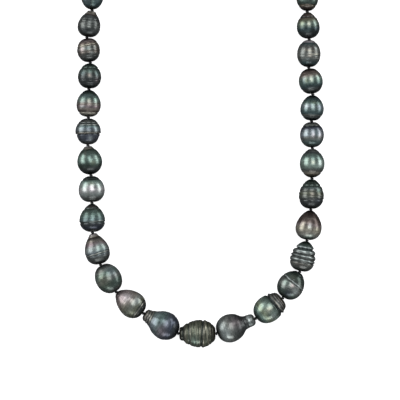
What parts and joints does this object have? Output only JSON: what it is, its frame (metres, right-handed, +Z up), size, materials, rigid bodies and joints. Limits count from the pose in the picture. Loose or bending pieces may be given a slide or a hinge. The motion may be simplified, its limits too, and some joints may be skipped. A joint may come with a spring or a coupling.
{
  "type": "pearl necklace",
  "caption": "Knotted strand of dark circled baroque pearls on black silk, laid flat in a closed loop, with a lobster clasp and a catch ring lying unhooked.",
  "frame": {"origin": "middle of the strand's outline, on the surface that it lies on", "axes": "+Y from the centre pearl to the clasp, along the longest extent; +Z up, the shortest extent; +X to the right seen from above"},
  "size_m": [0.099, 0.1894, 0.011],
  "materials": {
    "pearl_teal": "nacre lustre",
    "pearl_green": "nacre lustre",
    "pearl_silver": "nacre lustre",
    "pearl_grey": "nacre lustre",
    "pearl_mauve": "nacre lustre",
    "pearl_slate": "nacre lustre",
    "pearl_olive": "nacre lustre",
    "silk_black": "twisted silk",
    "silver": "polished",
    "gimp_wire": "fine coiled wire",
    "spring_steel": "satin"
  },
  "bodies": {
    "pearl_01": {"pearl_01": "pearl_grey", "left_gimp_loop": "gimp_wire"},
    "pearl_02": {"pearl_02": "pearl_green"},
    "pearl_03": {"pearl_03": "pearl_slate"},
    "pearl_04": {"pearl_04": "pearl_silver"},
    "pearl_05": {"pearl_05": "pearl_green"},
    "pearl_06": {"pearl_06": "pearl_teal"},
    "pearl_07": {"pearl_07": "pearl_grey"},
    "pearl_08": {"pearl_08": "pearl_mauve"},
    "pearl_09": {"pearl_09": "pearl_green"},
    "pearl_10": {"pearl_10": "pearl_slate"},
    "pearl_11": {"pearl_11": "pearl_slate"},
    "pearl_12": {"pearl_12": "pearl_green"},
    "pearl_13": {"pearl_13": "pearl_silver"},
    "pearl_14": {"pearl_14": "pearl_green"},
    "pearl_15": {"pearl_15": "pearl_mauve"},
    "pearl_16": {"pearl_16": "pearl_olive"},
    "pearl_17": {"pearl_17": "pearl_olive"},
    "pearl_18": {"pearl_18": "pearl_slate"},
    "pearl_19": {"pearl_19": "pearl_olive", "silk_thread": "silk_black"},
    "pearl_20": {"pearl_20": "pearl_grey"},
    "pearl_21": {"pearl_21": "pearl_green"},
    "pearl_22": {"pearl_22": "pearl_green"},
    "pearl_23": {"pearl_23": "pearl_grey"},
    "pearl_24": {"pearl_24": "pearl_mauve"},
    "pearl_25": {"pearl_25": "pearl_green"},
    "pearl_26": {"pearl_26": "pearl_teal"},
    "pearl_27": {"pearl_27": "pearl_slate"},
    "pearl_28": {"pearl_28": "pearl_teal"},
    "pearl_29": {"pearl_29": "pearl_green"},
    "pearl_30": {"pearl_30": "pearl_grey"},
    "pearl_31": {"pearl_31": "pearl_green"},
    "pearl_32": {"pearl_32": "pearl_green"},
    "pearl_33": {"pearl_33": "pearl_slate"},
    "pearl_34": {"pearl_34": "pearl_silver"},
    "pearl_35": {"pearl_35": "pearl_teal"},
    "pearl_36": {"pearl_36": "pearl_mauve"},
    "pearl_37": {"pearl_37": "pearl_grey", "right_gimp_loop": "gimp_wire"},
    "left_jump_ring": {"left_jump_ring": "silver"},
    "right_jump_ring": {"right_jump_ring": "silver"},
    "lobster": {"lobster_body": "silver", "lobster_pin": "silver", "lobster_spring": "spring_steel"},
    "lobster_lever": {"lobster_lever": "silver"},
    "catch_ring": {"catch_ring": "silver"}
  },
  "joints": [
    {"name": "knot_18_19", "type": "hinge", "parent": "pearl_19", "child": "pearl_18", "pos_m": [-0.00858, -0.08917, 0.00548], "axis": [0, 0, 1], "range_deg": [0, 37], "deforming": ["silk_thread"]},
    {"name": "knot_17_18", "type": "hinge", "parent": "pearl_18", "child": "pearl_17", "pos_m": [-0.02244, -0.08117, 0.00538], "axis": [0, 0, 1], "range_deg": [0, 15], "deforming": ["silk_thread"]},
    {"name": "knot_16_17", "type": "hinge", "parent": "pearl_17", "child": "pearl_16", "pos_m": [-0.03326, -0.07272, 0.00528], "axis": [0, 0, 1], "range_deg": [0, 29], "deforming": ["silk_thread"]},
    {"name": "knot_15_16", "type": "hinge", "parent": "pearl_16", "child": "pearl_15", "pos_m": [-0.03951, -0.06189, 0.00513], "axis": [0, 0, 1], "range_deg": [0, 23], "deforming": ["silk_thread"]},
    {"name": "knot_14_15", "type": "hinge", "parent": "pearl_15", "child": "pearl_14", "pos_m": [-0.04267, -0.0492, 0.00508], "axis": [0, 0, 1], "range_deg": [0, 20], "deforming": ["silk_thread"]},
    {"name": "knot_13_14", "type": "hinge", "parent": "pearl_14", "child": "pearl_13", "pos_m": [-0.04288, -0.03733, 0.00518], "axis": [0, 0, 1], "range_deg": [0, 7], "deforming": ["silk_thread"]},
    {"name": "knot_12_13", "type": "hinge", "parent": "pearl_13", "child": "pearl_12", "pos_m": [-0.04326, -0.02634, 0.00511], "axis": [0, 0, 1], "range_deg": [0, 7], "deforming": ["silk_thread"]},
    {"name": "knot_11_12", "type": "hinge", "parent": "pearl_12", "child": "pearl_11", "pos_m": [-0.04451, -0.01446, 0.00503], "axis": [0, 0, 1], "range_deg": [0, 14], "deforming": ["silk_thread"]},
    {"name": "knot_10_11", "type": "hinge", "parent": "pearl_11", "child": "pearl_10", "pos_m": [-0.04432, -0.00346, 0.00496], "axis": [0, 0, 1], "range_deg": [0, 7], "deforming": ["silk_thread"]},
    {"name": "knot_09_10", "type": "hinge", "parent": "pearl_10", "child": "pearl_09", "pos_m": [-0.04412, 0.00785, 0.00476], "axis": [0, 0, 1], "range_deg": [0, 9], "deforming": ["silk_thread"]},
    {"name": "knot_08_09", "type": "hinge", "parent": "pearl_09", "child": "pearl_08", "pos_m": [-0.04357, 0.0184, 0.00464], "axis": [0, 0, 1], "range_deg": [0, 7], "deforming": ["silk_thread"]},
    {"name": "knot_07_08", "type": "hinge", "parent": "pearl_08", "child": "pearl_07", "pos_m": [-0.04497, 0.02835, 0.00459], "axis": [0, 0, 1], "range_deg": [0, 26], "deforming": ["silk_thread"]},
    {"name": "knot_06_07", "type": "hinge", "parent": "pearl_07", "child": "pearl_06", "pos_m": [-0.04285, 0.03923, 0.00454], "axis": [0, 0, 1], "range_deg": [0, 7], "deforming": ["silk_thread"]},
    {"name": "knot_05_06", "type": "hinge", "parent": "pearl_06", "child": "pearl_05", "pos_m": [-0.04285, 0.0497, 0.00451], "axis": [0, 0, 1], "range_deg": [0, 13], "deforming": ["silk_thread"]},
    {"name": "knot_04_05", "type": "hinge", "parent": "pearl_05", "child": "pearl_04", "pos_m": [-0.04178, 0.05987, 0.00443], "axis": [0, 0, 1], "range_deg": [0, 19], "deforming": ["silk_thread"]},
    {"name": "knot_03_04", "type": "hinge", "parent": "pearl_04", "child": "pearl_03", "pos_m": [-0.03862, 0.0696, 0.00433], "axis": [0, 0, 1], "range_deg": [0, 22], "deforming": ["silk_thread"]},
    {"name": "knot_02_03", "type": "hinge", "parent": "pearl_03", "child": "pearl_02", "pos_m": [-0.03337, 0.07769, 0.00432], "axis": [0, 0, 1], "range_deg": [0, 23], "deforming": ["silk_thread"]},
    {"name": "knot_01_02", "type": "hinge", "parent": "pearl_02", "child": "pearl_01", "pos_m": [-0.02582, 0.08425, 0.00425], "axis": [0, 0, 1], "range_deg": [0, 23], "deforming": ["silk_thread"]},
    {"name": "knot_19_20", "type": "hinge", "parent": "pearl_19", "child": "pearl_20", "pos_m": [0.00653, -0.08917, 0.00548], "axis": [0, 0, -1], "range_deg": [0, 28], "deforming": ["silk_thread"]},
    {"name": "knot_20_21", "type": "hinge", "parent": "pearl_20", "child": "pearl_21", "pos_m": [0.02207, -0.0832, 0.00541], "axis": [0, 0, -1], "range_deg": [0, 23], "deforming": ["silk_thread"]},
    {"name": "knot_21_22", "type": "hinge", "parent": "pearl_21", "child": "pearl_22", "pos_m": [0.03288, -0.07506, 0.00531], "axis": [0, 0, -1], "range_deg": [0, 27], "deforming": ["silk_thread"]},
    {"name": "knot_22_23", "type": "hinge", "parent": "pearl_22", "child": "pearl_23", "pos_m": [0.03964, -0.06466, 0.00513], "axis": [0, 0, -1], "range_deg": [0, 27], "deforming": ["silk_thread"]},
    {"name": "knot_23_24", "type": "hinge", "parent": "pearl_23", "child": "pearl_24", "pos_m": [0.04249, -0.0523, 0.0051], "axis": [0, 0, -1], "range_deg": [0, 13], "deforming": ["silk_thread"]},
    {"name": "knot_24_25", "type": "hinge", "parent": "pearl_24", "child": "pearl_25", "pos_m": [0.044, -0.04, 0.00511], "axis": [0, 0, -1], "range_deg": [0, 12], "deforming": ["silk_thread"]},
    {"name": "knot_25_26", "type": "hinge", "parent": "pearl_25", "child": "pearl_26", "pos_m": [0.04443, -0.0276, 0.00498], "axis": [0, 0, -1], "range_deg": [0, 8], "deforming": ["silk_thread"]},
    {"name": "knot_26_27", "type": "hinge", "parent": "pearl_26", "child": "pearl_27", "pos_m": [0.04464, -0.01558, 0.00486], "axis": [0, 0, -1], "range_deg": [0, 10], "deforming": ["silk_thread"]},
    {"name": "knot_27_28", "type": "hinge", "parent": "pearl_27", "child": "pearl_28", "pos_m": [0.04427, -0.0049, 0.00471], "axis": [0, 0, -1], "range_deg": [0, 7], "deforming": ["silk_thread"]},
    {"name": "knot_28_29", "type": "hinge", "parent": "pearl_28", "child": "pearl_29", "pos_m": [0.04483, 0.00579, 0.00471], "axis": [0, 0, -1], "range_deg": [0, 19], "deforming": ["silk_thread"]},
    {"name": "knot_29_30", "type": "hinge", "parent": "pearl_29", "child": "pearl_30", "pos_m": [0.04316, 0.01633, 0.00473], "axis": [0, 0, -1], "range_deg": [0, 7], "deforming": ["silk_thread"]},
    {"name": "knot_30_31", "type": "hinge", "parent": "pearl_30", "child": "pearl_31", "pos_m": [0.04336, 0.02769, 0.00463], "axis": [0, 0, -1], "range_deg": [0, 12], "deforming": ["silk_thread"]},
    {"name": "knot_31_32", "type": "hinge", "parent": "pearl_31", "child": "pearl_32", "pos_m": [0.04259, 0.03865, 0.00449], "axis": [0, 0, -1], "range_deg": [0, 7], "deforming": ["silk_thread"]},
    {"name": "knot_32_33", "type": "hinge", "parent": "pearl_32", "child": "pearl_33", "pos_m": [0.04277, 0.04918, 0.00444], "axis": [0, 0, -1], "range_deg": [0, 14], "deforming": ["silk_thread"]},
    {"name": "knot_33_34", "type": "hinge", "parent": "pearl_33", "child": "pearl_34", "pos_m": [0.04172, 0.05926, 0.00445], "axis": [0, 0, -1], "range_deg": [0, 19], "deforming": ["silk_thread"]},
    {"name": "knot_34_35", "type": "hinge", "parent": "pearl_34", "child": "pearl_35", "pos_m": [0.03855, 0.069, 0.00436], "axis": [0, 0, -1], "range_deg": [0, 22], "deforming": ["silk_thread"]},
    {"name": "knot_35_36", "type": "hinge", "parent": "pearl_35", "child": "pearl_36", "pos_m": [0.0333, 0.07709, 0.00426], "axis": [0, 0, -1], "range_deg": [0, 23], "deforming": ["silk_thread"]},
    {"name": "knot_36_37", "type": "hinge", "parent": "pearl_36", "child": "pearl_37", "pos_m": [0.02582, 0.08359, 0.00421], "axis": [0, 0, -1], "range_deg": [0, 23], "deforming": ["silk_thread"]},
    {"name": "left_jump_ring_swing", "type": "hinge", "parent": "pearl_01", "child": "left_jump_ring", "pos_m": [-0.01422, 0.08905, 0.00252], "axis": [0, 0, 1], "range_deg": [-20, 20]},
    {"name": "lobster_swing", "type": "hinge", "parent": "left_jump_ring", "child": "lobster", "pos_m": [-0.01039, 0.09008, 0.00152], "axis": [0, 0, 1], "range_deg": [-35, 35]},
    {"name": "lobster_lever_hinge", "type": "hinge", "parent": "lobster", "child": "lobster_lever", "pos_m": [-0.00704, 0.0897, 0.00152], "axis": [0, 0, 1], "range_deg": [0, 25], "stiffness_Nm_per_rad": 0.0002, "springref_deg": -11.46, "deforming": ["lobster_spring"]},
    {"name": "right_jump_ring_swing", "type": "hinge", "parent": "pearl_37", "child": "right_jump_ring", "pos_m": [0.0143, 0.08836, 0.00252], "axis": [0, 0, -1], "range_deg": [-20, 20]},
    {"name": "catch_ring_swing", "type": "hinge", "parent": "right_jump_ring", "child": "catch_ring", "pos_m": [0.01047, 0.08938, 0.00133], "axis": [0.1079, -0.0289, -0.9937], "range_deg": [-35, 35]}
  ]
}
